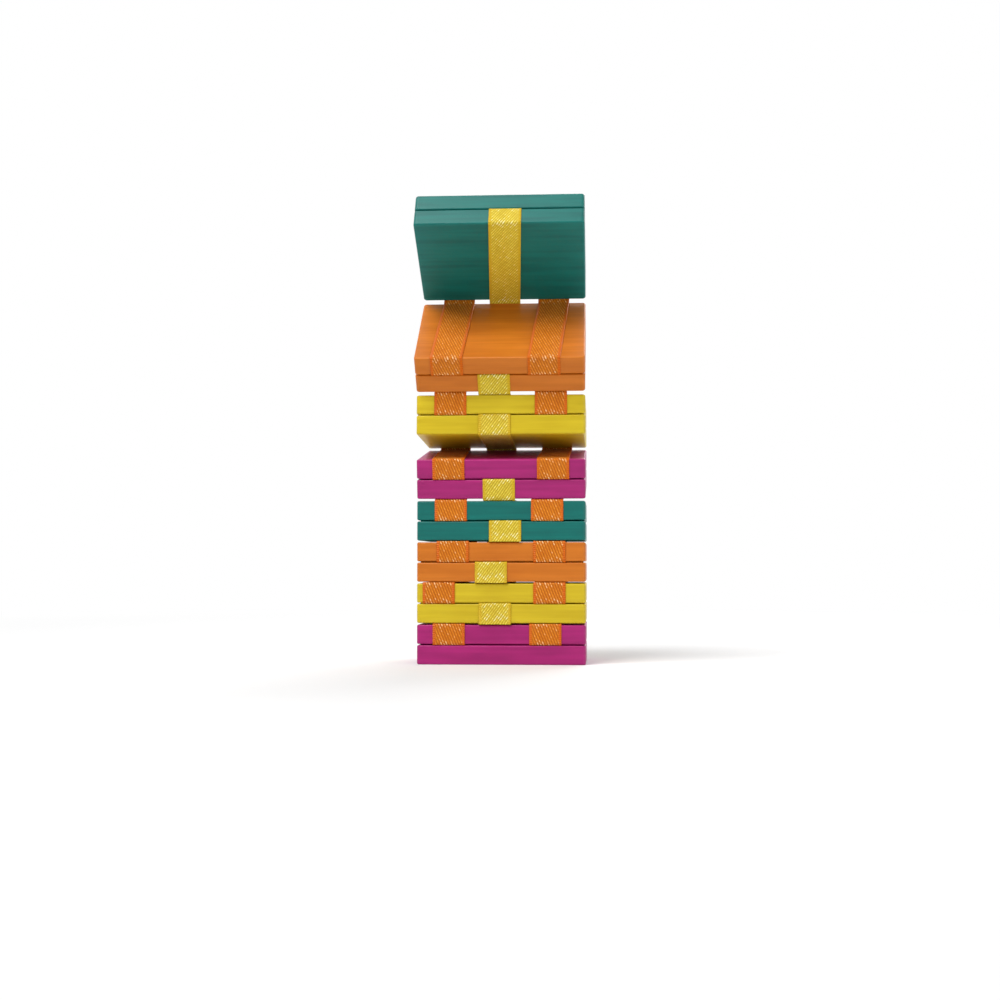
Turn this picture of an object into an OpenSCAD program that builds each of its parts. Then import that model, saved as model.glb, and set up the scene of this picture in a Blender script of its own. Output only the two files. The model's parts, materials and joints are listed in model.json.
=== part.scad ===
// Jacob's ladder: eight wooden blocks that tumble on three ribbons, shown part folded.
// Each block is two slats glued face to face with the ribbons in the seam between them.
// X runs across the ribbons, Y is the depth with the near end at -Y, and Z is up.
// The origin is the middle of the lowest block's underside.

/* [Blocks] */
// Width of a block, across the ribbons
block_w = 42; // [38:1:60]
// Length of a block, along the ladder
block_l = 28; // [22:1:60]
// Thickness of one of the two slats in a block
slat_t = 4.8; // [3:0.1:8]
// Radius of a slat's corners, seen from above
corner_r = 0.8; // [0.7:0.1:4]
// Radius of the eased edges round a slat's faces
edge_r = 0.4; // [0.2:0.1:0.6]

/* [Ribbons] */
// Width of a ribbon
ribbon_w = 8; // [5:0.5:8.5]
// Thickness of a ribbon, and so of the seam that it fills
ribbon_t = 0.25; // [0.15:0.05:0.4]
// From the side of a block to the line of an outer ribbon
outer_inset = 8.5; // [7:0.5:9]
// How far the cut ends of a ribbon stop short of the first and the last seam's mouth
ribbon_tuck = 3; // [1:0.5:6]

/* [Folds] */
// Air left beside a ribbon between two closed blocks
ribbon_play = 0.15; // [0.1:0.05:0.3]
// How far a fold line stands out past the ends of the blocks
fold_out = 0.35; // [0.3:0.05:0.6]
// How near the end of a stretch of ribbon comes to its fold line
fold_clear = 0.2; // [0.15:0.05:0.3]

/* [Rest pose] */
// Opening between blocks 1 and 2, in degrees
open_1 = 70; // [10:1:90]
// Opening between blocks 2 and 3, in degrees
open_2 = 41; // [10:1:60]
// Opening between blocks 3 and 4, in degrees
open_3 = 12; // [4:1:30]
// Opening between blocks 4 and 5, in degrees
open_4 = 9; // [4:1:20]

/* [Hidden] */
BLOCKS = 8;
block_t = 2 * slat_t + ribbon_t;
pair_gap = ribbon_t + ribbon_play;
flat_half = block_l / 2 - edge_r;
fold_half = block_l / 2 + fold_out - fold_clear;
outer_line = block_w / 2 - outer_inset;

// Pair p is block p and block p + 1 below it, and the last three pairs are closed at rest.
openings = [open_1, open_2, open_3, open_4, 0, 0, 0];
CLOSED_PAIRS = [5, 6, 7];

// How far each ribbon lies to the right of its line at the ends of blocks 1 to 8, as laid by
// hand: a share of the room beside an outer ribbon, up to the centre one or the block's side.
RIBBONS = ["centre", "left", "right"];
ribbon_lines = [0, -outer_line, outer_line];
lay_room = min(outer_line - ribbon_w, outer_inset - ribbon_w / 2 - edge_r);
near_share = [
  [0.37, -0.37, -0.37, -0.12, 0.25, -0.61, -0.37, -0.25],
  [0.12, -0.12, 0, -0.12, 0, 0.12, -0.73, -0.12],
  [0.37, -0.37, 0, 0.12, -0.25, -0.12, -0.12, -0.37]
];
far_share = [
  [0.29, 0.03, -0.25, -0.37, 0.07, -0.44, -0.44, -0.29],
  [0.19, -0.05, -0.31, -0.07, 0.05, -0.15, -0.54, -0.15],
  [0.06, -0.22, 0.18, 0.05, -0.19, -0.07, -0.19, -0.29]
];

SLATS = ["upper", "lower"];
block_colours = ["#16806f", "#d67a28", "#dac232", "#b42d7d"];
ribbon_colours = ["#d6b432", "#e2802a", "#e2802a"];

function slat_name(b, s) = str("block_", b, "_", SLATS[s], "_slat");
function band_name(b, r) = str("block_", b, "_", RIBBONS[r], "_ribbon");
function run_name(p, r) = str("run_", p, "_", p + 1, "_", RIBBONS[r], "_ribbon");

$fn = 48;

// Pairs fold in turn at the far end and at the near end, as the folds of a fan do.
function folds_near(p) = p % 2 == 0;
function fold_turn(p) = folds_near(p) ? 1 : -1;
function fold_y(p) = -fold_turn(p) * (block_l / 2 + fold_out);
function stays_open(p) = p > 0 && p < BLOCKS && openings[p - 1] > 0;

// Tilt of a block from level, and the place of the middle of its underside, as [y, z].
function turned(a, v) = [v.x * cos(a) - v.y * sin(a), v.x * sin(a) + v.y * cos(a)];
function tilt(b) = b == BLOCKS ? 0 : tilt(b + 1) + fold_turn(b) * openings[b - 1];
function place(b) = b == BLOCKS ? [0, 0] :
  place(b + 1) + turned(tilt(b + 1), [fold_y(b), block_t + pair_gap / 2])
  - turned(tilt(b), [fold_y(b), -pair_gap / 2]);

// The centre ribbon leaves a block's seam upwards at the far end and downwards at the near
// end, and the outer ribbons the other way round, so that every pair is crossed by both.
function up_end(r) = r == 0 ? 1 : -1;
function cut_end(b, r) = b == 1 ? up_end(r) : b == BLOCKS ? -up_end(r) : 0;
function seam_end(b, r, end) = end * (flat_half - (cut_end(b, r) == end ? ribbon_tuck : 0));
function lay(b, r, end) =
  ribbon_lines[r] + (end < 0 ? near_share : far_share)[r][b - 1] * lay_room;
function has_top_run(b, r) = stays_open(b - 1) && folds_near(b - 1) == (r == 0);
function has_under_run(b, r) = stays_open(b) && folds_near(b) != (r == 0);

module at_block(b) {
  translate([0, place(b).x, place(b).y])
    rotate([tilt(b), 0, 0])
      children();
}

// Turns an outline drawn in X and Y to stand in Y and Z, with its thickness along X.
module across_block() {
  rotate([90, 0, 90])
    children();
}

module eased_rectangle(width, height) {
  square([width - 2 * edge_r, height], center = true);
  square([width, height - 2 * edge_r], center = true);
  for (x = [-1, 1], y = [-1, 1])
    translate([x * (width / 2 - edge_r), y * (height / 2 - edge_r)])
      circle(edge_r);
}

// A slat lies on Z = 0: two crossed bars with eased edges, and a turned corner at each end.
module slat() {
  translate([0, 0, slat_t / 2]) {
    across_block()
      linear_extrude(block_w - 2 * corner_r, center = true)
        eased_rectangle(block_l, slat_t);
    rotate([90, 0, 0])
      linear_extrude(block_l - 2 * corner_r, center = true)
        eased_rectangle(block_w, slat_t);
    for (x = [-1, 1], y = [-1, 1])
      translate([x * (block_w / 2 - corner_r), y * (block_l / 2 - corner_r)])
        rotate_extrude()
          intersection() {
            eased_rectangle(2 * corner_r, slat_t);
            translate([0, -slat_t / 2])
              square([corner_r, slat_t]);
          }
  }
}

module upper_slat(b) {
  color(block_colours[(b - 1) % len(block_colours)])
    at_block(b)
      translate([0, 0, slat_t + ribbon_t])
        slat();
}

module lower_slat(b) {
  color(block_colours[(b - 1) % len(block_colours)])
    at_block(b)
      slat();
}

// A ribbon's bend round an eased edge, from one angle to another, with its width along Z.
module bend(from, to) {
  rotate(from)
    rotate_extrude(angle = to - from)
      translate([edge_r, -ribbon_w / 2])
        square([ribbon_t, ribbon_w]);
}

// A ribbon from the seam at the origin, out and along the end of a slat. There it either
// turns over the slat's outer edge, or goes straight on to the fold line.
module wrap(turns_over) {
  straight_end = turns_over ? slat_t - edge_r : slat_t + pair_gap / 2 - fold_clear;
  translate([-edge_r, edge_r])
    bend(-90, 0);
  translate([0, edge_r, -ribbon_w / 2])
    cube([ribbon_t, straight_end - edge_r, ribbon_w]);
  if (turns_over)
    translate([-edge_r, slat_t - edge_r])
      bend(0, 90);
}

// A flat stretch of ribbon that drifts sideways from one block's lay to the next one's.
module run(start_x, end_x, start_y, end_y) {
  half = ribbon_w / 2;
  linear_extrude(ribbon_t)
    polygon([
      [start_x - half, start_y],
      [start_x + half, start_y],
      [end_x + half, end_y],
      [end_x - half, end_y]
    ]);
}

// A ribbon's way out of a block's seam: up over the upper slat's end or down over the lower's.
module end_turn(b, r, end, goes_up, turns_over) {
  translate([lay(b, r, end), end * block_l / 2, goes_up ? slat_t + ribbon_t : slat_t])
    mirror([0, end < 0 ? 1 : 0, 0])
      mirror([0, 0, goes_up ? 0 : 1])
        across_block()
          wrap(turns_over);
}

// The stretch of a ribbon that is glued in a block's seam, with what it carries outside.
module block_ribbon(b, r) {
  end = up_end(r);
  color(ribbon_colours[r])
    at_block(b) {
      translate([0, 0, slat_t])
        run(lay(b, r, -1), lay(b, r, 1), seam_end(b, r, -1), seam_end(b, r, 1));
      if (b > 1)
        end_turn(b, r, end, true, has_top_run(b, r));
      if (b < BLOCKS)
        end_turn(b, r, -end, false, has_under_run(b, r));
      if (has_top_run(b, r))
        translate([0, 0, block_t])
          run(lay(b, r, end), lay(b - 1, r, -end), end * flat_half, -end * fold_half);
      if (has_under_run(b, r))
        translate([0, 0, -ribbon_t])
          run(lay(b, r, -end), lay(b + 1, r, end), -end * flat_half, end * fold_half);
    }
}

// A ribbon's flat stretch between two closed blocks, free to go with either of them.
module ribbon_run(p, r) {
  end = up_end(r);
  color(ribbon_colours[r])
    at_block(p + 1)
      translate([0, 0, block_t + ribbon_play / 2])
        run(lay(p + 1, r, end), lay(p, r, -end), end * fold_half, -end * fold_half);
}

for (b = [1 : BLOCKS]) {
  upper_slat(b);
  lower_slat(b);
  for (r = [0 : 2])
    block_ribbon(b, r);
}
for (p = CLOSED_PAIRS, r = [0 : 2])
  ribbon_run(p, r);
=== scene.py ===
# A Jacob's ladder toy, part folded: eight painted wooden blocks that tumble on three ribbons.
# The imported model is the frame, in metres: X across the ribbons, Y away from the viewer, Z up.

import json
import math

import bmesh
import bpy
from mathutils import Color, Matrix, Vector, geometry, noise


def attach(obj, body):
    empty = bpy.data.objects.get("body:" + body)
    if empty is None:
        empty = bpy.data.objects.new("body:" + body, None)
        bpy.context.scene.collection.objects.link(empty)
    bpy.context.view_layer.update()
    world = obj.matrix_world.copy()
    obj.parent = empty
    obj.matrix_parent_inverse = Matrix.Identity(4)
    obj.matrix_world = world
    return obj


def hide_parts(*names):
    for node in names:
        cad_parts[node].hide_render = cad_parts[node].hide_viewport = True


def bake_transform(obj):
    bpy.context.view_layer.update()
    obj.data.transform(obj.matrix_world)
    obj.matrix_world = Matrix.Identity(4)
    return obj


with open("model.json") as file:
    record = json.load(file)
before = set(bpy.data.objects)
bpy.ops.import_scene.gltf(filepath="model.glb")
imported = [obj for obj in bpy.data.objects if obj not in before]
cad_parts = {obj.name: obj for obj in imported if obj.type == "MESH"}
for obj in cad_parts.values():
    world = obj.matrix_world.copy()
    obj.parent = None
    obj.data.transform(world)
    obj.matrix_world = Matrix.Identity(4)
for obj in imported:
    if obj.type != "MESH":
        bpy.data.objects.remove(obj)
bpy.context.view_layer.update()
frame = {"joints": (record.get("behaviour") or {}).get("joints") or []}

# BLOCKS
# Eight blocks, each two beech slats glued face to face. A pair of neighbours folds like a
# door about a line just past their ends, so a block's place follows from the folds below it.

mm = 0.001
BLOCKS = 8
block_l = 28 * mm
slat_t = 4.8 * mm
ribbon_t = 0.25 * mm
block_t = 2 * slat_t + ribbon_t
pair_gap = 0.4 * mm
fold_out = 0.35 * mm
fold_reach = block_l / 2 + fold_out
folds = {joint["name"]: joint for joint in frame["joints"]}


def fold_of(pair):
    """The joint at which a pair opens in the usual way, and how far open it is at rest."""
    joint = folds.get(f"fold_{pair}_{pair + 1}")
    if joint:
        return joint, math.radians(-joint["range_deg"][0])
    end = "far" if pair % 2 else "near"
    return folds[f"{end}_fold_{pair}_{pair + 1}"], 0.0


tilt = {BLOCKS: 0.0}
block_frame = {BLOCKS: Matrix.Identity(4)}
for pair in range(BLOCKS - 1, 0, -1):
    joint, opening = fold_of(pair)
    turn = joint["axis"][0]
    tilt[pair] = tilt[pair + 1] + turn * opening
    block_frame[pair] = (
        Matrix.Translation(joint["pos_m"])
        @ Matrix.Rotation(tilt[pair], 4, "X")
        @ Matrix.Translation((0, turn * fold_reach, pair_gap / 2))
    )


# SLATS
# Sixteen slats sawn from thin beech board with the grain along the wide side. The corners are
# rounded, the edges are sanded soft by hand, and the paint is a satin toy lacquer. Each lower
# slat carries the bed of glue that joins it to the upper one.

block_w = 42 * mm
corner_r = 0.8 * mm
edge_r = 0.4 * mm
CORNER_STEPS = 6
EDGE_STEPS = 4
BOARD_CUTS = 9
SANDED_HOLLOW = 0.03 * mm
SANDING_PITCH = 9 * mm
GLUE_INSET = 0.8 * mm
GLUE_WALL = 0.05 * mm

# How far apart in the noise two slats are, in the paint and in the sanding.
BOARDS_APART = 3.7
HOLLOWS_APART = 5.3

# Patterns of the wood and the lacquer: noise cells in a millimetre along the grain, across it
# and through the board, how many layers of detail, and how far they are from the grain's noise.
GRAIN = ((0.035, 0.9, 0.9), 4.0, 0)
PORES = ((0.22, 5.0, 5.0), 2.0, 0)
BRUSHING = ((0.1, 0.35, 0.35), 2.0, 7)
ORANGE_PEEL = ((1.6, 1.6, 1.6), 1.0, 3)
FLAKING = ((1.3, 1.3, 1.3), 3.0, 11)

# The noise levels between which a pattern goes from nothing to full.
GRAIN_LEVELS = (0.36, 0.66)
BRUSHING_LEVELS = (0.3, 0.7)
CHIP_LEVELS = (0.72, 0.76)

# How much each adds to the paint's tone, to its relief and to its roughness.
GRAIN_TONE = 0.45
BRUSHING_TONE = 0.35
EDGE_TONE = 0.12
GRAIN_RELIEF = 0.5
PORE_RELIEF = 0.3
PEEL_RELIEF = 0.35
CHIP_DEPTH = 1.2
PAINT_ROUGHNESS = 0.34
BRUSHING_ROUGHNESS = 0.14
CHIP_ROUGHNESS = 0.25

# How far from an edge, in millimetres, the paint is sound, and how far it is fully worn.
SOUND_PAINT = 0.5
WORN_PAINT = 0.08

# The relief's strength and depth, and the satin gloss of the lacquer.
PAINT_BUMP = (0.35, 0.05 * mm)
LACQUER_GLOSS = {"Specular IOR Level": 0.26, "Coat Weight": 0.08, "Coat Roughness": 0.22}


class Wire:
    """One output of a shader node. Operators on wires and numbers add Math nodes."""

    def __init__(self, socket):
        self.socket = socket

    def node(self, kind, settings, inputs, output=0):
        """Adds a node to the same tree, sets it up, fills its sockets and gives one output."""
        made = self.socket.id_data.nodes.new("ShaderNode" + kind)
        for name, value in settings.items():
            setattr(made, name, value)
        for name, value in inputs.items():
            if isinstance(value, Wire):
                self.socket.id_data.links.new(value.socket, made.inputs[name])
            else:
                made.inputs[name].default_value = value
        return Wire(made.outputs[output])

    def maths(self, operation, *values):
        """A Math node on these values."""
        return self.node("Math", {"operation": operation}, dict(enumerate(values)))

    def __add__(self, other):
        return self.maths("ADD", self, other)

    def __sub__(self, other):
        return self.maths("SUBTRACT", self, other)

    def __mul__(self, other):
        return self.maths("MULTIPLY", self, other)

    def __truediv__(self, other):
        return self.maths("DIVIDE", self, other)

    def __rsub__(self, other):
        return self.maths("SUBTRACT", other, self)

    __radd__ = __add__
    __rmul__ = __mul__

    def size(self):
        """How far it is from 0."""
        return self.maths("ABSOLUTE", self)

    def whole(self):
        """The whole number at or below it."""
        return self.maths("FLOOR", self)

    def least(self, other):
        """The smaller of the two."""
        return self.maths("MINIMUM", self, other)

    def most(self, other):
        """The larger of the two."""
        return self.maths("MAXIMUM", self, other)

    def ramp(self, low, high):
        """Goes smoothly from 0 at low to 1 at high, and low may be the larger of the two."""
        return self.node(
            "MapRange",
            {"interpolation_type": "SMOOTHSTEP"},
            {"Value": self, "From Min": low, "From Max": high},
        )

    def wave(self, length):
        """A ridge, 0 to 1, once in each length."""
        return self.maths("SINE", self * (2 * math.pi / length)) * 0.5 + 0.5

    def mixed(self, first, second):
        """A colour between two others, by this wire's value."""
        return self.node(
            "Mix", {"data_type": "RGBA"}, {"Factor": self, 6: first, 7: second}, 2
        )

    def cloud(self, scale, detail, seed):
        """Noise, 0 to 1, over this vector stretched by scale."""
        stretched = self.node("VectorMath", {"operation": "MULTIPLY"}, {0: self, 1: scale})
        return self.node(
            "TexNoise",
            {"noise_dimensions": "4D"},
            {"Vector": stretched, "W": seed, "Scale": 1.0, "Detail": detail},
        )

    def bump(self, strength, distance):
        """The normal of a surface that this wire's height is pressed into."""
        inputs = {"Height": self, "Strength": strength, "Distance": distance}
        return self.node("Bump", {}, inputs)


def colour(red, green, blue):
    """A colour as it is seen on a screen, 0 to 255, turned into the one that shaders use."""
    seen = Color((red / 255, green / 255, blue / 255))
    return (*seen.from_srgb_to_scene_linear(), 1.0)


def new_finish(name):
    """A material with its shader, as (material, shader node, a wire into its tree)."""
    made = bpy.data.materials.new(name)
    made.use_nodes = True
    shader = made.node_tree.nodes["Principled BSDF"]
    return made, shader, Wire(shader.outputs[0])


def attribute(tree, name, output):
    """What each point of a piece's mesh carries under that name."""
    return tree.node("Attribute", {"attribute_name": name}, {}, output)


def set_up(shader, values):
    """Sets sockets of the shader that are the same all over."""
    for name, value in values.items():
        shader.inputs[name].default_value = value


def connect(shader, **wires):
    """Joins wires to the shader's sockets, named with _ for a space."""
    for name, wire in wires.items():
        shader.id_data.links.new(wire.socket, shader.inputs[name.replace("_", " ")])


# Each paint where it lies thick, and where it is thin over the grain.
paints = {
    "green_paint": ((4, 117, 108), (2, 96, 90)),
    "orange_paint": ((218, 126, 34), (196, 106, 20)),
    "yellow_paint": ((222, 198, 38), (200, 172, 22)),
    "magenta_paint": ((184, 36, 122), (154, 24, 102)),
}
BARE_BEECH = (214, 176, 130)


def painted_beech(name, coat, thin_coat):
    """Satin lacquer on beech: grain telegraphs through, and the sanded edges wear first."""
    material, shader, tree = new_finish(name)
    where = attribute(tree, "slat_at", "Vector")
    board = attribute(tree, "board", "Fac")
    grain, pores, brushing, peel, flaking = (
        where.cloud(scale, detail, board + apart)
        for scale, detail, apart in (GRAIN, PORES, BRUSHING, ORANGE_PEEL, FLAKING)
    )
    split = where.node("SeparateXYZ", {}, {"Vector": where}).socket.node
    depths = [
        half / mm - Wire(split.outputs[axis]).size()
        for axis, half in enumerate((block_w / 2, block_l / 2, slat_t / 2))
    ]
    low, high = depths[0].least(depths[1]), depths[0].most(depths[1])
    from_edge = low.most(high.least(depths[2]))
    edge = from_edge.ramp(SOUND_PAINT, WORN_PAINT)
    chip = (edge * flaking).ramp(*CHIP_LEVELS)
    streaks = grain.ramp(*GRAIN_LEVELS) * GRAIN_TONE
    strokes = brushing.ramp(*BRUSHING_LEVELS) * BRUSHING_TONE
    tone = streaks + strokes + edge * EDGE_TONE
    paint = tone.mixed(colour(*thin_coat), colour(*coat))
    wood = grain * GRAIN_RELIEF + pores * PORE_RELIEF
    relief = wood + peel * PEEL_RELIEF - chip * CHIP_DEPTH
    connect(
        shader,
        Base_Color=chip.mixed(paint, colour(*BARE_BEECH)),
        Roughness=PAINT_ROUGHNESS + brushing * BRUSHING_ROUGHNESS + chip * CHIP_ROUGHNESS,
        Normal=relief.bump(*PAINT_BUMP),
    )
    set_up(shader, LACQUER_GLOSS)
    return material


coats = {name: painted_beech(name, *tones) for name, tones in paints.items()}


def finished(shape, name, material):
    """Turns a bmesh into a smooth piece of that name and material."""
    mesh = bpy.data.meshes.new(name)
    shape.to_mesh(mesh)
    shape.free()
    mesh.shade_smooth()
    mesh.materials.append(material)
    piece = bpy.data.objects.new(name, mesh)
    bpy.context.scene.collection.objects.link(piece)
    return piece


def sanded_slat(seed, glued):
    """A slat about the origin with rounded corners and soft edges, a little hollow by hand.

    A glued one carries the bed of glue that fills the seam on top of it."""
    slat = bmesh.new()
    bmesh.ops.create_cube(slat, matrix=Matrix.Diagonal((block_w, block_l, slat_t, 1)))
    upright = [e for e in slat.edges if abs(e.verts[0].co.z - e.verts[1].co.z) > edge_r]
    ease = {"affect": "EDGES", "profile": 0.5, "material": -1, "offset_type": "OFFSET"}
    bmesh.ops.bevel(slat, geom=upright, offset=corner_r, segments=CORNER_STEPS, **ease)
    rims = [e for e in slat.edges if abs(e.verts[0].co.z - e.verts[1].co.z) < edge_r]
    bmesh.ops.bevel(slat, geom=rims, offset=edge_r, segments=EDGE_STEPS, **ease)
    if glued:
        bed = [max(slat.faces, key=lambda face: face.calc_center_median().z)]
        fill = ribbon_t + SANDED_HOLLOW
        bmesh.ops.inset_region(slat, faces=bed, thickness=GLUE_INSET)
        bmesh.ops.inset_region(slat, faces=bed, thickness=GLUE_WALL, depth=fill)
    for axis, half in enumerate((block_w / 2, block_l / 2)):
        across = Vector((axis == 0, axis == 1, 0))
        for cut in range(1, BOARD_CUTS):
            bmesh.ops.bisect_plane(
                slat,
                geom=slat.verts[:] + slat.edges[:] + slat.faces[:],
                plane_co=across * half * (2 * cut / BOARD_CUTS - 1),
                plane_no=across,
            )
    slat.normal_update()
    where = slat.verts.layers.float_vector.new("slat_at")
    board = slat.verts.layers.float.new("board")
    for vert in slat.verts:
        vert[where] = vert.co / mm
        vert[board] = seed * BOARDS_APART
        lump = noise.noise(vert.co / SANDING_PITCH + Vector((seed * HOLLOWS_APART, 0, 0)))
        vert.co -= vert.normal * SANDED_HOLLOW * (0.5 + 0.5 * lump)
    return slat


for block in range(1, BLOCKS + 1):
    coat = list(paints)[(block - 1) % len(paints)]
    for half, middle in (("upper", block_t - slat_t / 2), ("lower", slat_t / 2)):
        shape = sanded_slat(2 * block + (half == "upper"), half == "lower")
        put = block_frame[block] @ Matrix.Translation((0, 0, middle))
        bmesh.ops.transform(shape, matrix=put, verts=shape.verts)
        slat = finished(shape, f"slat_{block}_{half}", coats[coat])
        flats = slat.modifiers.new("flat_faces", "WEIGHTED_NORMAL")
        flats.keep_sharp = False
        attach(slat, f"block_{block}")
        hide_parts(f"block_{block}_{half}_slat")


# RIBBONS
# Three lengths of 8 mm twill ribbon, a yellow one down the middle and an orange one at each
# side. Each is glued in every seam, and between two blocks it crosses from end to end.

ribbon_w = 8 * mm
outer_line = 12.5 * mm
hug = ribbon_t / 2
seam_hold = 3 * mm
ribbon_tuck = 3 * mm
ROUTE_STEP = 0.6 * mm
BEND_STEP = math.radians(11)
BELLY = 0.1 * mm
SELVEDGE_T = 0.24 * mm

# Bend radii at a slat's edge, an open fold, a shut fold and the tail past a shut fold, and how
# far up the block's end the tail comes to lie on it.
edge_bend = edge_r + hug
open_bend = 0.9 * mm
fold_bend = 0.4 * mm
tail_bend = 1.5 * mm
tail_rise = 1.4 * mm

# How far on either side of a fold hinged works out a point, for an open and for a shut pair.
open_zone = 0.9 * mm
shut_zone = 0.25 * mm

# Threads across half a ribbon, as (share of the half width, share of the selvedge's thickness).
THREADS = ((0, 0.68), (0.3, 0.68), (0.6, 0.68), (0.8, 0.68), (0.86, 0.95), (0.95, 1), (1, 0.5))
THREAD_ROW = [(-share, weight) for share, weight in THREADS[:0:-1]] + list(THREADS)

# How far each ribbon lies to the right of its line at the near (-1) and the far (1) ends of
# blocks 1 to 8, as laid by hand: a share of the room beside it.
lay_room = 4.1 * mm
ribbon_lines = {"centre": 0, "left": -outer_line, "right": outer_line}
ribbon_lays = {
    ("centre", -1): (0.37, -0.37, -0.37, -0.12, 0.25, -0.61, -0.37, -0.25),
    ("centre", 1): (0.29, 0.03, -0.25, -0.37, 0.07, -0.44, -0.44, -0.29),
    ("left", -1): (0.12, -0.12, 0, -0.12, 0, 0.12, -0.73, -0.12),
    ("left", 1): (0.19, -0.05, -0.31, -0.07, 0.05, -0.15, -0.54, -0.15),
    ("right", -1): (0.37, -0.37, 0, 0.12, -0.25, -0.12, -0.12, -0.37),
    ("right", 1): (0.06, -0.22, 0.18, 0.05, -0.19, -0.07, -0.19, -0.29),
}

# The weave, in millimetres: how long a thread floats, how much of that the next row is ahead,
# the selvedge's inner border from the ribbon's middle, and the loops of its thread.
FLOAT_LENGTH = 0.9
ROW_STAGGER = 0.38
SELVEDGE_BORDER = (3.2, 3.45)
LOOP_LENGTH = 0.5

# Soft patches from handling as noise, the levels between which a thread takes on the painted
# glint colour, the relief's strength and depth, and the gloss of the cloth.
HANDLING = ((0.35, 0.12, 1.0), 2.0, 0.0)
PAINTED_GLINT_LEVELS = (0.5, 0.95)
WEAVE_BUMP = (0.8, 0.12 * mm)
TWILL_GLOSS = {"Specular IOR Level": 0.18, "Sheen Weight": 0.03, "Sheen Roughness": 0.4}

# Painted glints: threads near a bend get more of the pale highlight colour, out to this reach.
BEND_GLINT_REACH = 1.4 * mm

# How much a float swells; how far its height, its chance and handling lighten it from the
# valleys' painted shade; how much chance and a bend bring on the painted glint; what roughens
# the threads;
# and how far the edge thread and its loops cover the selvedge.
FLOAT_SWELL = 0.4
RELIEF_SHADE = 0.55
CHANCE_LIGHT = 0.5
HANDLING_LIGHT = 0.25
CHANCE_PAINTED_GLINT = 0.85
BEND_PAINTED_GLINT = 0.5
CLOTH_ROUGHNESS = 0.5
THREAD_POLISH = 0.08
CHANCE_POLISH = 0.22
EDGE_COVER = 0.55
LOOP_COVER = 0.3

# The rows' pitch in millimetres, how far they lean across in each one along, and the colours:
# the valleys' painted shade, the floats, the painted glint and the edge thread.
weaves = {
    "yellow_ribbon": {
        "pitch": 0.68,
        "slant": 0.7,
        "valley_shade": (186, 150, 10),
        "float_thread": (250, 230, 86),
        "painted_glint": (255, 248, 184),
        "edge_thread": (216, 176, 20),
    },
    "orange_ribbon": {
        "pitch": 0.66,
        "slant": -0.4,
        "valley_shade": (180, 82, 2),
        "float_thread": (240, 150, 38),
        "painted_glint": (255, 206, 150),
        "edge_thread": (220, 98, 6),
    },
}


def twill(name, pitch, slant, valley_shade, float_thread, painted_glint, edge_thread):
    """Twill ribbon: slanting rows of bright warp floats between two firm selvedges, lighter on
    the floats and darker in the valleys as painted shade, with a painted glint on some floats.
    """
    material, shader, tree = new_finish(name)
    along = attribute(tree, "along", "Fac")
    across = attribute(tree, "across", "Fac")
    near_bend = attribute(tree, "near_bend", "Fac")
    slope = (across - along * slant) / pitch
    row = slope.whole()
    step = along / FLOAT_LENGTH + row * ROW_STAGGER
    thread_at = along.node("CombineXYZ", {}, {"X": row, "Y": step.whole()})
    chance = along.node("TexWhiteNoise", {"noise_dimensions": "2D"}, {"Vector": thread_at})
    selvedge = across.size().ramp(*SELVEDGE_BORDER)
    loops = along.wave(LOOP_LENGTH)
    handling = along.node("CombineXYZ", {}, {"X": across, "Y": along}).cloud(*HANDLING)
    body = slope.wave(1.0) * (1 - FLOAT_SWELL + step.wave(1.0) * FLOAT_SWELL)
    relief = body + selvedge * (loops - body)
    # The floats get the lighter colour and the valleys the darker one by height: painted shade.
    shade = relief * (RELIEF_SHADE + chance * CHANCE_LIGHT) + handling * HANDLING_LIGHT
    # A painted glint: a pale highlight colour on some floats, and on more of them near a bend.
    painted_glint_level = body * (chance * CHANCE_PAINTED_GLINT + near_bend * BEND_PAINTED_GLINT)
    painted_glint_mask = painted_glint_level.ramp(*PAINTED_GLINT_LEVELS) * (1 - selvedge)
    cloth = shade.mixed(colour(*valley_shade), colour(*float_thread))
    thread = painted_glint_mask.mixed(cloth, colour(*painted_glint))
    edging = selvedge * (EDGE_COVER + loops * LOOP_COVER)
    connect(
        shader,
        Base_Color=edging.mixed(thread, colour(*edge_thread)),
        Roughness=CLOTH_ROUGHNESS - relief * (THREAD_POLISH + chance * CHANCE_POLISH),
        Normal=relief.bump(*WEAVE_BUMP),
    )
    set_up(shader, TWILL_GLOSS)
    return material


cloths = {name: twill(name, **weave) for name, weave in weaves.items()}


def route(corners):
    """Points along straight stretches and round bends, and how far along each corner is.

    Corners are (point in Y and Z, bend radius), and the first and the last are the ends."""
    points = [corners[0][0]]
    marks = [0.0]
    gone = 0.0

    def straight_to(goal):
        start = points[-1]
        steps = max(1, math.ceil((goal - start).length / ROUTE_STEP))
        points.extend(start.lerp(goal, step / steps) for step in range(1, steps + 1))
        return (goal - start).length

    for (before, _), (corner, radius), (after, _) in zip(corners, corners[1:], corners[2:]):
        come = (corner - before).normalized()
        go = (after - corner).normalized()
        bend = math.atan2(come.cross(go), come.dot(go))
        reach = radius * math.tan(abs(bend) / 2)
        gone += straight_to(corner - come * reach)
        marks.append(gone + radius * abs(bend) / 2)
        inward = come.orthogonal() * (1 if bend > 0 else -1) * radius
        centre = points[-1] + inward
        steps = math.ceil(abs(bend) / BEND_STEP) if radius else 0
        for step in range(1, steps + 1):
            points.append(centre - Matrix.Rotation(bend * step / steps, 2) @ inward)
        gone += radius * abs(bend)
    marks.append(gone + straight_to(corners[-1][0]))
    return points, marks


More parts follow.
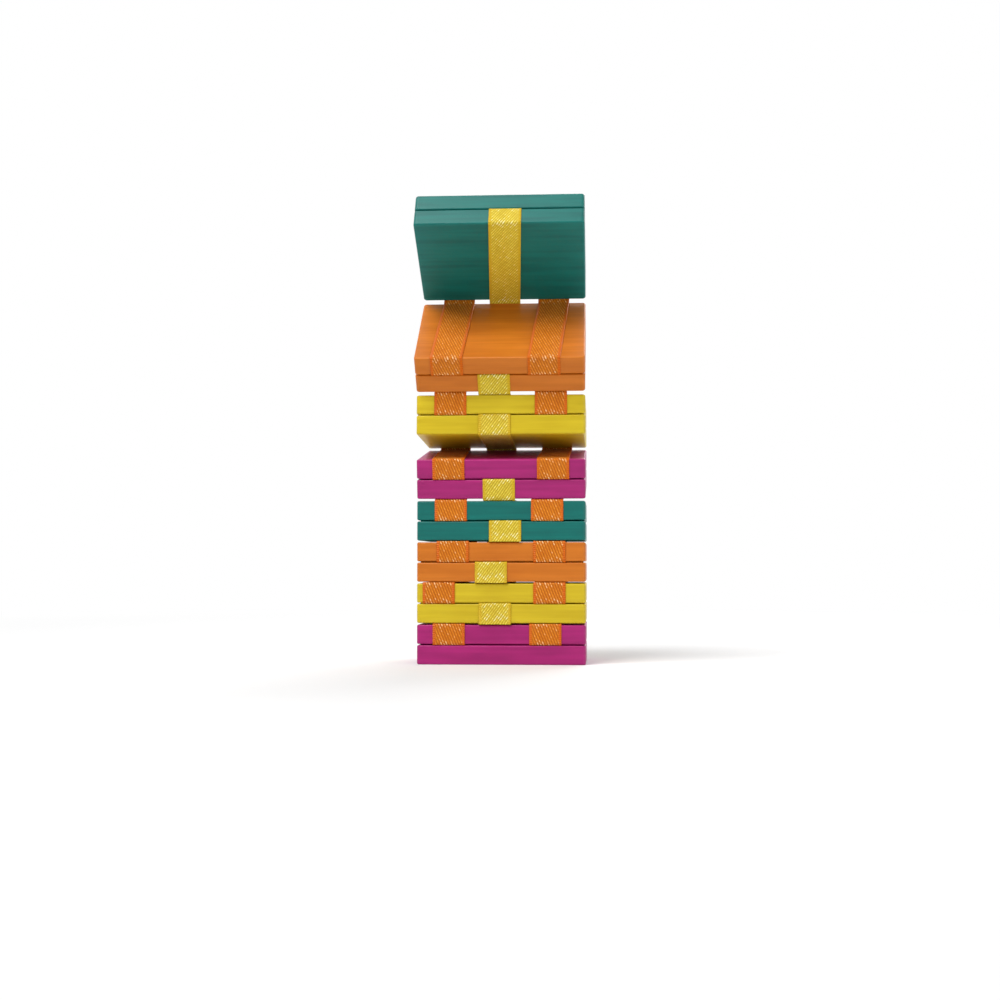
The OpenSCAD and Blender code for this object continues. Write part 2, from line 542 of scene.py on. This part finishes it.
def woven(name, ribbon, corners, lays, drift, start, lift=None):
    """A length of ribbon pulled along a route. It drifts from one lay to the other between
    two corners, and may belly out from what it lies on there. Gives the piece and its length."""
    points, marks = route(corners)
    strip = bmesh.new()
    along = strip.verts.layers.float.new("along")
    across = strip.verts.layers.float.new("across")
    near_bend = strip.verts.layers.float.new("near_bend")
    thick = strip.verts.layers.deform.verify()
    row = []
    for share, weight in THREAD_ROW:
        vert = strip.verts.new((share * ribbon_w / 2, *points[0]))
        vert[across] = share * ribbon_w / 2 / mm
        vert[thick][0] = weight
        row.append(vert)
    edges = [strip.edges.new(ends) for ends in zip(row, row[1:])]
    cut_ends = list(edges)
    rows = [(0.0, row)]
    for last, point in zip(points, points[1:]):
        made = bmesh.ops.extrude_edge_only(strip, edges=edges)["geom"]
        row = [part for part in made if isinstance(part, bmesh.types.BMVert)]
        edges = [
            part
            for part in made
            if isinstance(part, bmesh.types.BMEdge) and all(v in row for v in part.verts)
        ]
        bmesh.ops.translate(strip, verts=row, vec=(0, *(point - last)))
        rows.append((rows[-1][0] + (point - last).length, row))
    for edge in cut_ends + edges:
        edge.smooth = False
    first, second = marks[drift[0]], marks[drift[1]]
    for gone, row in rows:
        share = min(1.0, max(0.0, (gone - first) / (second - first)))
        sideways = lays[0] + (lays[1] - lays[0]) * share
        away = Vector((0, 0)) if lift is None else lift * BELLY * math.sin(math.pi * share)
        bmesh.ops.translate(strip, verts=row, vec=(sideways, *away))
        # Closeness to a bend, which brings on more of the painted glint in the cloth.
        bend_gap = min((abs(gone - mark) for mark in marks[1:-1]), default=BEND_GLINT_REACH)
        for vert in row:
            vert[along] = start + gone / mm
            vert[near_bend] = max(0.0, 1 - bend_gap / BEND_GLINT_REACH)
    cloth = "yellow_ribbon" if ribbon == "centre" else "orange_ribbon"
    piece = finished(strip, name, cloths[cloth])
    piece.vertex_groups.new(name="thickness")
    body = piece.modifiers.new("cloth", "SOLIDIFY")
    body.thickness = SELVEDGE_T
    body.offset = 0
    body.vertex_group = "thickness"
    return piece, marks[-1] / mm


def spot(block, out, up, end):
    """A point of a block as (y, z): out along the block towards an end, and up from below."""
    return (block_frame[block] @ Vector((0, end * out, up))).yz


def upward(block):
    """A block's own way up, as (y, z)."""
    return (block_frame[block].to_3x3() @ Vector((0, 0, 1))).yz


def meeting(first, second):
    """Where two lines, each given by two points, cross."""
    line = [Vector((0, *point)) for point in (*first, *second)]
    return geometry.intersect_line_line(*line)[0].yz


def hinged(piece, fold, way, zone):
    """Works out the points on either side of a fold along way, which are not used, and bakes the
    piece's place into its mesh.
    """
    reach = way.normalized() * zone
    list(fold - reach)
    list(fold + reach)
    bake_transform(piece)


end_face = block_l / 2 + hug
seam_up = slat_t + hug
run_up = block_t + pair_gap / 2
seam_end = block_l / 2 - seam_hold
tucked_end = block_l / 2 - edge_r - ribbon_tuck
for ribbon, line in ribbon_lines.items():
    end = 1 if ribbon == "centre" else -1
    out_of = [line + share * lay_room for share in ribbon_lays[ribbon, end]]
    into = [line + share * lay_room for share in ribbon_lays[ribbon, -end]]
    used = 0.0
    for lower in range(BLOCKS, 0, -1):
        upper = lower - 1

        # The stretch in the seam, tucked in short where the ribbon starts and ends.
        first = seam_end if lower < BLOCKS else tucked_end
        last = seam_end if upper else tucked_end
        flat = [(spot(lower, -first, seam_up, end), 0), (spot(lower, last, seam_up, end), 0)]
        name = f"{ribbon}_ribbon_seam_{lower}"
        lays = into[lower - 1], out_of[lower - 1]
        piece, length = woven(name, ribbon, flat, lays, (0, 1), used)
        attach(piece, f"block_{lower}")
        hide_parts(f"block_{lower}_{ribbon}_ribbon")
        used += length
        if not upper:
            break

        # Out of the lower seam round the slat's edge, across, and into the upper seam.
        rise = [
            (spot(lower, seam_end, seam_up, end), 0),
            (spot(lower, end_face, seam_up, end), edge_bend),
        ]
        sink = [
            (spot(upper, -end_face, seam_up, end), edge_bend),
            (spot(upper, -seam_end, seam_up, end), 0),
        ]
        name = f"{ribbon}_ribbon_{upper}_{lower}"
        lays = out_of[lower - 1], into[upper - 1]
        joint, opening = fold_of(upper)
        if opening:
            end_line = [spot(lower, end_face, height, end) for height in (0, block_t)]
            far_line = [spot(upper, -end_face, height, end) for height in (0, block_t)]
            top_line = [spot(lower, out, block_t + hug, end) for out in (0, block_l)]
            under_line = [spot(upper, out, -hug, end) for out in (0, block_l)]
            if joint["axis"][0] == -end:
                # Open where the ribbon rises: it goes on under the upper block.
                fold = meeting(end_line, under_line)
                under_edge = spot(upper, -end_face, -hug, end)
                crossing = [(fold, open_bend), (under_edge, edge_bend)]
                come, go = end_line[1] - end_line[0], under_line[0] - under_line[1]
                lift = -upward(upper)
            else:
                # Open at the other end: the ribbon lies on the lower block up to there.
                fold = meeting(far_line, top_line)
                top_edge = spot(lower, end_face, block_t + hug, end)
                crossing = [(top_edge, edge_bend), (fold, open_bend)]
                come, go = top_line[0] - top_line[1], far_line[1] - far_line[0]
                lift = upward(lower)
            corners = rise + crossing + sink
            piece, length = woven(name, ribbon, corners, lays, (2, 3), used, lift)
            way = come.normalized() + go.normalized()
            hinged(piece, fold, way, open_zone)
            used += length
            continue

        # The pair is shut: the ribbon runs flat between the blocks and folds at both ends.
        near_fold = spot(lower, end_face, run_up, end)
        far_fold = spot(lower, -end_face, run_up, end)
        way = Vector((-end, 1))
        run = f"run_{upper}_{lower}_{ribbon}_ribbon"
        if ribbon == "centre":
            axis = spot(lower, -fold_reach, run_up, end)
            corners = [*rise, (near_fold, fold_bend), (axis, 0)]
            piece, length = woven(name, ribbon, corners, lays, (2, 3), used)
            hinged(piece, near_fold, way, shut_zone)
            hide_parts(run)
            used += length
            touch = spot(upper, -end_face, tail_rise, end)
            corners = [(axis, 0), (touch, tail_bend), *sink]
            piece, length = woven(f"{name}_tail", ribbon, corners, lays[1:] * 2, (0, 1), used)
            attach(piece, f"block_{upper}")
            used += length
        else:
            middle = near_fold.lerp(far_fold, 0.5)
            middle_lay = (lays[0] + lays[1]) / 2
            corners = [*rise, (near_fold, fold_bend), (middle, 0)]
            halves = (lays[0], middle_lay), (middle_lay, lays[1])
            piece, length = woven(f"{name}_near", ribbon, corners, halves[0], (2, 3), used)
            hinged(piece, near_fold, way, shut_zone)
            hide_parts(run)
            used += length
            corners = [(middle, 0), (far_fold, fold_bend), *sink]
            piece, length = woven(f"{name}_far", ribbon, corners, halves[1], (0, 1), used)
            hinged(piece, far_fold, way, shut_zone)
            used += length


# FLOOR AND BACKDROP
# The toy stands on a pale floor that fades to white all round, and a white backdrop is seen
# behind it. Both are part of the picture and not of the toy.

FLOOR_RADIUS = 3.0
FLOOR_SIDES = 96
FLOOR_GREY = (0.86, 0.86, 0.86, 1.0)
FLOOR_ROUGHNESS = 0.9
AMBIENT = 0.24
white = (1.0, 1.0, 1.0, 1.0)

# How far from the middle the floor starts to fade, and where it has become white.
FADE = (0.1, 0.42)


def looking_rays(tree):
    """1 for the rays that see the backdrop itself: straight, mirrored or through glass."""
    rays = tree.node("LightPath", {}, {}).socket.node.outputs
    straight, mirrored, through = (
        Wire(rays[f"Is {kind} Ray"]) for kind in ("Camera", "Glossy", "Transmission")
    )
    return (straight + mirrored + through).least(1.0)


floor_finish, floor_shader, ground = new_finish("pale_floor")
set_up(floor_shader, {"Base Color": FLOOR_GREY, "Roughness": FLOOR_ROUGHNESS})
floor_at = ground.node("TexCoord", {}, {}, "Object")
distance = ground.node("VectorMath", {"operation": "LENGTH"}, {0: floor_at}, "Value")
glow = ground.node("Emission", {}, {"Color": white, "Strength": 1.0})
fade = looking_rays(ground) * distance.ramp(*FADE)
faded = ground.node("MixShader", {}, {0: fade, 1: ground, 2: glow})
surface = floor_finish.node_tree.nodes["Material Output"].inputs["Surface"]
floor_finish.node_tree.links.new(faded.socket, surface)
floor_shape = bmesh.new()
bmesh.ops.create_circle(floor_shape, cap_ends=True, segments=FLOOR_SIDES, radius=FLOOR_RADIUS)
floor = finished(floor_shape, "floor", floor_finish)

world = bpy.data.worlds.new("studio")
world.use_nodes = True
bpy.context.scene.world = world
ambient = world.node_tree.nodes["Background"]
set_up(ambient, {"Color": white, "Strength": AMBIENT})
sky = Wire(ambient.outputs[0])
backdrop = sky.node("Background", {}, {"Color": white, "Strength": 1.0})
both = sky.node("MixShader", {}, {0: looking_rays(sky), 1: sky, 2: backdrop})
world.node_tree.links.new(both.socket, world.node_tree.nodes["World Output"].inputs["Surface"])

# LAMPS AND CAMERA
# Three large soft lamps, a key from the upper left, a fill from the right and a rim from
# behind. The camera looks at the toy level and a little from the right, as in the photograph.

toy_middle = Vector((0, 0, 0.055))

# Each lamp's place and width in metres, and its power in watts.
lamps = {
    "key": ((-0.26, -0.38, 0.75), 0.4, 6.0),
    "fill": ((0.55, -0.35, 0.25), 0.5, 1.0),
    "rim": ((0.15, 0.5, 0.5), 0.4, 2.5),
}
for name, (lamp_at, width, power) in lamps.items():
    lamp = bpy.data.lights.new(name, "AREA")
    lamp.size = width
    lamp.energy = power
    stand = bpy.data.objects.new(name, lamp)
    stand.location = lamp_at
    stand.rotation_euler = (toy_middle - stand.location).to_track_quat("-Z", "Y").to_euler()
    bpy.context.scene.collection.objects.link(stand)

LENS = 54
SENSOR = 36
CLIP_START = 0.01

# Where the camera stands, and how far it is turned and tipped, as fitted to the block corners.
camera_at = (0.0247, -0.3854, 0.0254)
to_left = math.radians(3.84)
upwards = math.radians(2.37)
ahead = Vector(
    (
        -math.sin(to_left) * math.cos(upwards),
        math.cos(to_left) * math.cos(upwards),
        math.sin(upwards),
    )
)
view = bpy.data.cameras.new("camera")
view.lens = LENS
view.sensor_width = SENSOR
view.clip_start = CLIP_START
camera = bpy.data.objects.new("camera", view)
camera.location = camera_at
camera.rotation_euler = ahead.to_track_quat("-Z", "Y").to_euler()
bpy.context.scene.collection.objects.link(camera)
bpy.context.scene.camera = camera
bpy.context.scene.view_settings.view_transform = "Standard"
